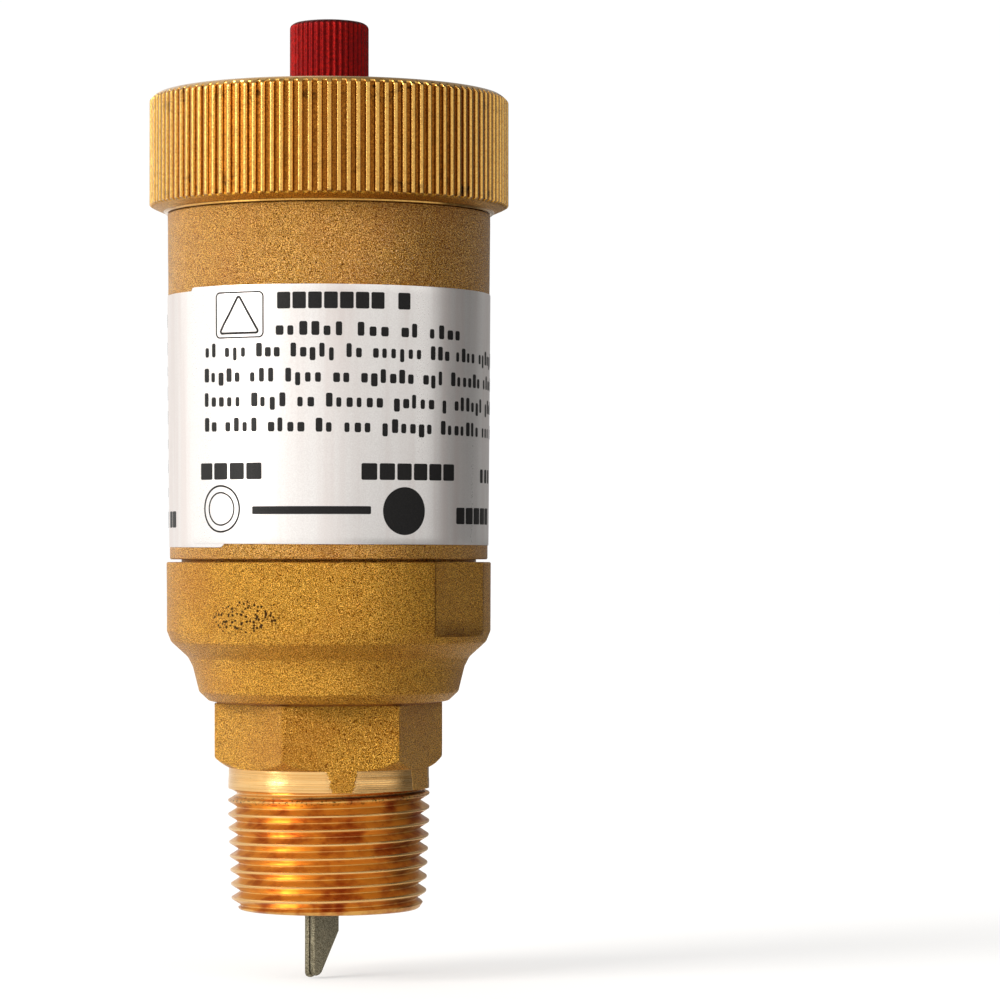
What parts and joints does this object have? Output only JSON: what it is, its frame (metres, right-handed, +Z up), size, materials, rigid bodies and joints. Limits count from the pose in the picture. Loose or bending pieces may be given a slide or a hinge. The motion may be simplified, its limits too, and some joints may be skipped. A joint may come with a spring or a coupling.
{
  "type": "automatic air vent",
  "caption": "Float-operated automatic air vent with a forged brass pot, tapered inlet thread, hand-turned knurled shut-off head, screw cap, label and folded drip strip.",
  "frame": {"origin": "on the pot's axis, at the end face of the inlet thread", "axes": "+Z up along the pot's axis, from the inlet thread to the vent cap; -Y towards the label's symbols"},
  "size_m": [0.047, 0.047, 0.1247],
  "materials": {
    "forged_brass": "blasted",
    "turned_brass": "machined",
    "stainless": "rolled",
    "foil": "satin foil",
    "red_plastic": "moulded",
    "white_plastic": "moulded",
    "black_rubber": "moulded",
    "red_fibre": "pressed"
  },
  "bodies": {
    "pot": {"lower_body": "forged_brass", "blade_retainer": "stainless", "drip_blade": "stainless", "body_gasket": "black_rubber", "upper_body": "forged_brass", "label": "foil", "seat_insert": "turned_brass", "seat_o_ring": "black_rubber", "seat_nut": "turned_brass", "lever_bracket": "stainless", "lever_pin": "stainless", "lever_clip": "stainless", "stop_pin": "stainless", "head_o_ring": "black_rubber"},
    "float": {"float_cup": "white_plastic", "float_lid": "white_plastic", "float_pin": "stainless"},
    "lever": {"float_lever": "stainless"},
    "valve": {"valve_poppet": "turned_brass", "poppet_tip": "black_rubber"},
    "shutoff": {"shutoff_holder": "turned_brass", "shutoff_disc": "black_rubber"},
    "head": {"knurled_head": "forged_brass", "vent_nozzle": "turned_brass", "nozzle_washer": "red_fibre"},
    "seal": {"cap_seal": "black_rubber"},
    "cap": {"vent_cap": "red_plastic"}
  },
  "joints": [
    {"name": "float_slide", "type": "slide", "parent": "pot", "child": "float", "axis": [0, 0, 1], "range_m": [0, 0.004]},
    {"name": "lever_turn", "type": "hinge", "parent": "pot", "child": "lever", "pos_m": [-0.0075, 0, 0.0841], "axis": [0, -1, 0], "range_deg": [0, 11.46]},
    {"name": "valve_slide", "type": "slide", "parent": "pot", "child": "valve", "axis": [0, 0, 1], "range_m": [0, 0.0015]},
    {"name": "head_lift", "type": "slide", "parent": "pot", "child": "shutoff", "axis": [0, 0, 1], "range_m": [0, 0.000292]},
    {"name": "head_turn", "type": "hinge", "parent": "shutoff", "child": "head", "pos_m": [0, 0, 0.1015], "axis": [0, 0, 1], "range_deg": [0, 70]},
    {"name": "cap_lift", "type": "slide", "parent": "head", "child": "seal", "axis": [0, 0, 1], "range_m": [0, 0.0016]},
    {"name": "cap_turn", "type": "hinge", "parent": "seal", "child": "cap", "pos_m": [0, 0, 0.113], "axis": [0, 0, 1], "range_deg": [0, 720]}
  ],
  "couplings": [
    {"joint": "lever_turn", "follows": "float_slide", "rad_per_m": 50},
    {"joint": "valve_slide", "follows": "float_slide", "ratio": 0.375},
    {"joint": "head_lift", "follows": "head_turn", "m_per_rad": 0.00023873},
    {"joint": "cap_turn", "follows": "cap_lift", "rad_per_m": 7854}
  ]
}
